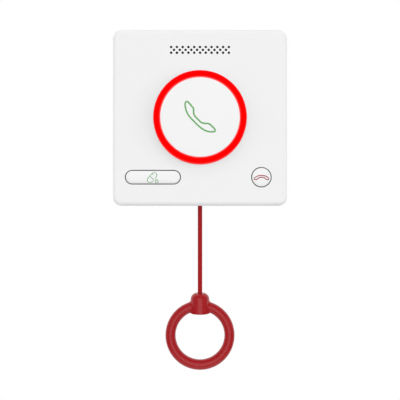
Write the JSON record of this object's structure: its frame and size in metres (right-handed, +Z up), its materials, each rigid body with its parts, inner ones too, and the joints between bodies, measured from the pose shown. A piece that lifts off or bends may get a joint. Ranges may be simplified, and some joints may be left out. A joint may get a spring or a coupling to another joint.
{
  "type": "nurse call bedside terminal",
  "caption": "Wall-mounted nurse call terminal: call button in a lit ring, medication and hang-up buttons, speaker grille, pull cord with ring.",
  "frame": {"origin": "middle of the two wall screw slots, on the rear face that lies on the wall, at the centre of the housing", "axes": "+Z up, +Y into the wall, so the front faces -Y; +X to the right as seen from the room"},
  "size_m": [0.12, 0.034, 0.2373],
  "materials": {
    "white_shell": "fine moulded matt",
    "white_cap": "satin moulded",
    "lit_red": "translucent, lit from behind",
    "silicone": "soft matt",
    "board": "green solder mask",
    "lamp": "clear resin in a white case",
    "black_plastic": "moulded",
    "green_plastic": "moulded",
    "black_cloth": "acoustic cloth",
    "foam": "closed-cell foam",
    "cone_paper": "pressed paper",
    "steel": "zinc plated",
    "guide_plastic": "acetal",
    "red_cord": "smooth sheathed cord",
    "red_plastic": "satin moulded"
  },
  "bodies": {
    "housing": {"rear_housing": "white_shell", "front_cover": "white_shell", "light_ring": "lit_red", "call_dome": "silicone", "medication_dome": "silicone", "hangup_dome": "silicone", "main_board": "board", "ring_leds": "lamp", "controller_chip": "black_plastic", "terminal_block": "green_plastic", "speaker_cloth": "black_cloth", "speaker_gasket": "foam", "speaker_frame": "black_plastic", "speaker_magnet": "steel", "speaker_cone": "cone_paper", "speaker_pad": "foam", "microphone": "steel", "microphone_boot": "silicone", "pull_guide": "guide_plastic", "pull_spring": "steel", "pull_switch": "black_plastic", "cord_bushing": "white_cap", "board_screws": "steel", "guide_screws": "steel", "closing_screws": "steel"},
    "call_cap": {"call_button": "white_cap"},
    "medication_cap": {"medication_button": "white_cap"},
    "hangup_cap": {"hangup_button": "white_cap"},
    "slider": {"pull_slider": "guide_plastic"},
    "cord": {"cord_ball": "steel", "pull_cord": "red_cord", "cord_knot": "red_cord"},
    "ring": {"pull_ring": "red_plastic"}
  },
  "joints": [
    {"name": "call_press", "type": "slide", "parent": "housing", "child": "call_cap", "axis": [0, 1, 0], "range_m": [0, 0.0012], "stiffness_N_per_m": 1500, "springref_m": -0.001, "deforming": ["call_dome"]},
    {"name": "medication_press", "type": "slide", "parent": "housing", "child": "medication_cap", "axis": [0, 1, 0], "range_m": [0, 0.0009], "stiffness_N_per_m": 1200, "springref_m": -0.001, "deforming": ["medication_dome"]},
    {"name": "hangup_press", "type": "slide", "parent": "housing", "child": "hangup_cap", "axis": [0, 1, 0], "range_m": [0, 0.0009], "stiffness_N_per_m": 1200, "springref_m": -0.001, "deforming": ["hangup_dome"]},
    {"name": "cord_pull", "type": "slide", "parent": "housing", "child": "slider", "axis": [0, 0, -1], "range_m": [0, 0.004], "stiffness_N_per_m": 2000, "springref_m": -0.003, "deforming": ["pull_spring"]},
    {"name": "cord_swing", "type": "hinge", "parent": "slider", "child": "cord", "pos_m": [0, -0.014, -0.0532], "axis": [0, 1, 0], "range_deg": [-15, 15]},
    {"name": "ring_swivel", "type": "hinge", "parent": "cord", "child": "ring", "pos_m": [0, -0.014, -0.1226], "axis": [0, 0, 1], "continuous": true}
  ]
}
